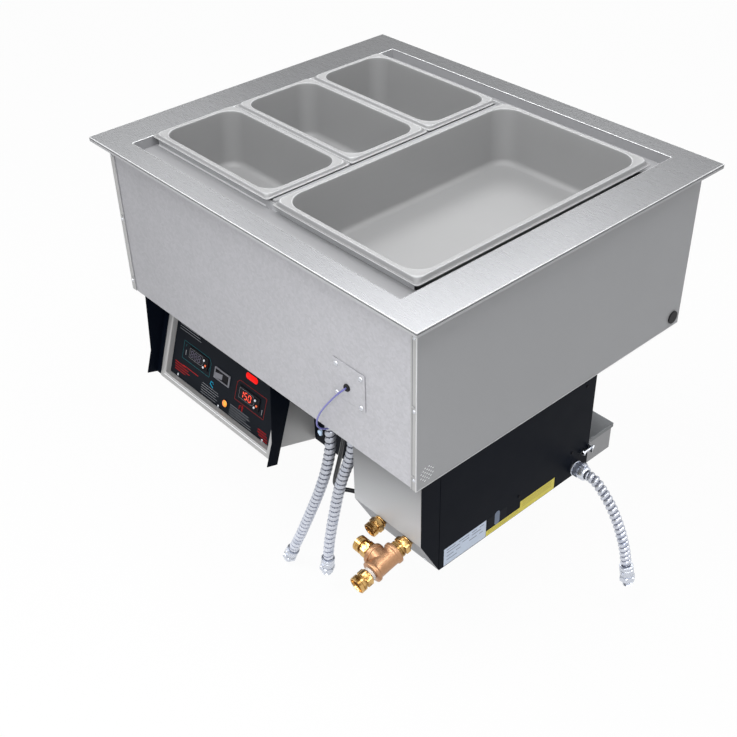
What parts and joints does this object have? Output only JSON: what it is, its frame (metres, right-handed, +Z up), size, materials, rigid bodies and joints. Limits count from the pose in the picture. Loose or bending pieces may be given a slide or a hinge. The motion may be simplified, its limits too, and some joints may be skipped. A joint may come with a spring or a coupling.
{
  "type": "drop in food well",
  "caption": "Drop-in hot and cold food well with lift-out pans in a flanged steel recess, insulated casing, tilted control box, heater box, water fittings and flexible conduits.",
  "frame": {"origin": "centre of the counter cut-out, on the counter surface under the hemmed flange", "axes": "+X to the right along the control side, +Y away from the control side, +Z up"},
  "size_m": [0.938, 0.756, 0.769],
  "materials": {
    "flange_steel": "finely brushed stainless steel",
    "pan_steel": "satin to bright drawn stainless steel",
    "tank_steel": "dull stainless steel, dark in shadow",
    "galvanised": "mottled galvanised sheet",
    "grey_panel": "flat mid grey coated sheet",
    "box_grey": "light grey coated sheet",
    "black_paint": "blue-black powder coat",
    "black_panel": "black printed control overlay",
    "black_plastic": "black moulded plastic",
    "grey_plastic": "grey moulded plastic",
    "white_plastic": "off-white moulded plastic",
    "orange_plastic": "orange moulded plastic",
    "amber_lens": "translucent orange lens",
    "rubber": "black rubber",
    "brass": "machined brass",
    "bronze": "cast bronze",
    "zinc": "bright zinc-coated steel",
    "copper": "copper tube",
    "foam": "rigid insulation foam",
    "violet_sleeve": "thin blue-violet sleeve"
  },
  "bodies": {
    "well": {"top_flange": "flange_steel", "well_tank": "tank_steel", "insulation_jacket": "foam", "cooling_coil": "copper", "heating_element": "zinc", "drain_fitting": "brass", "casing_right": "grey_panel", "side_plug": "rubber", "casing_left": "grey_panel", "casing_front": "galvanised", "casing_back": "galvanised", "casing_floor": "galvanised", "access_plate": "grey_panel", "capillary_grommet": "rubber", "capillary_tube": "violet_sleeve", "divider_bar": "flange_steel", "adapter_bar_front": "flange_steel", "adapter_bar_back": "flange_steel", "control_box": "box_grey", "control_panel": "black_panel", "terminal_block": "white_plastic", "cold_controller": "black_plastic", "hot_controller": "black_plastic", "rocker_housing": "grey_plastic", "pilot_lamp": "amber_lens", "control_wing_left": "black_paint", "control_wing_right": "black_paint", "hanger_plate": "black_paint", "heater_box": "box_grey", "heater_cover": "black_paint", "fill_valve": "brass", "outlet_nut": "brass", "tee_nut_inlet": "brass", "bronze_tee": "bronze", "tee_nut_end": "brass", "tee_nut_branch": "brass", "junction_box": "tank_steel", "junction_lid": "tank_steel", "conduit_clamp": "zinc", "conduit_left": "zinc", "conduit_right": "zinc", "conduit_left_end": "zinc", "conduit_right_end": "zinc", "rear_clamp": "zinc", "conduit_rear": "zinc", "conduit_rear_end": "zinc", "black_cable": "rubber"},
    "full_pan": {"full_pan": "pan_steel"},
    "third_pan_front": {"third_pan_front": "pan_steel"},
    "third_pan_middle": {"third_pan_middle": "pan_steel"},
    "third_pan_back": {"third_pan_back": "pan_steel"},
    "drain_screen": {"drain_screen": "pan_steel"},
    "power_rocker": {"power_rocker": "grey_plastic"},
    "cold_button_set": {"cold_button_set": "orange_plastic"},
    "cold_button_up": {"cold_button_up": "white_plastic"},
    "cold_button_down": {"cold_button_down": "white_plastic"},
    "hot_button_set": {"hot_button_set": "orange_plastic"},
    "hot_button_up": {"hot_button_up": "white_plastic"},
    "hot_button_down": {"hot_button_down": "white_plastic"}
  },
  "joints": [
    {"name": "full_pan_lift", "type": "slide", "parent": "well", "child": "full_pan", "axis": [0, 0, 1], "range_m": [0, 0.13]},
    {"name": "third_pan_front_lift", "type": "slide", "parent": "well", "child": "third_pan_front", "axis": [0, 0, 1], "range_m": [0, 0.13]},
    {"name": "third_pan_middle_lift", "type": "slide", "parent": "well", "child": "third_pan_middle", "axis": [0, 0, 1], "range_m": [0, 0.13]},
    {"name": "third_pan_back_lift", "type": "slide", "parent": "well", "child": "third_pan_back", "axis": [0, 0, 1], "range_m": [0, 0.13]},
    {"name": "drain_screen_lift", "type": "slide", "parent": "well", "child": "drain_screen", "axis": [0, 0, 1], "range_m": [0, 0.06]},
    {"name": "power_rocker_tilt", "type": "hinge", "parent": "well", "child": "power_rocker", "pos_m": [-0.1605, -0.28643, -0.40416], "axis": [0, 0.3007, 0.9537], "range_deg": [-16, 0]},
    {"name": "cold_button_set_press", "type": "slide", "parent": "well", "child": "cold_button_set", "axis": [0, 0.9537, -0.3007], "range_m": [0, 0.0008], "stiffness_N_per_m": 300},
    {"name": "cold_button_up_press", "type": "slide", "parent": "well", "child": "cold_button_up", "axis": [0, 0.9537, -0.3007], "range_m": [0, 0.0008], "stiffness_N_per_m": 300},
    {"name": "cold_button_down_press", "type": "slide", "parent": "well", "child": "cold_button_down", "axis": [0, 0.9537, -0.3007], "range_m": [0, 0.0008], "stiffness_N_per_m": 300},
    {"name": "hot_button_set_press", "type": "slide", "parent": "well", "child": "hot_button_set", "axis": [0, 0.9537, -0.3007], "range_m": [0, 0.0008], "stiffness_N_per_m": 300},
    {"name": "hot_button_up_press", "type": "slide", "parent": "well", "child": "hot_button_up", "axis": [0, 0.9537, -0.3007], "range_m": [0, 0.0008], "stiffness_N_per_m": 300},
    {"name": "hot_button_down_press", "type": "slide", "parent": "well", "child": "hot_button_down", "axis": [0, 0.9537, -0.3007], "range_m": [0, 0.0008], "stiffness_N_per_m": 300}
  ]
}
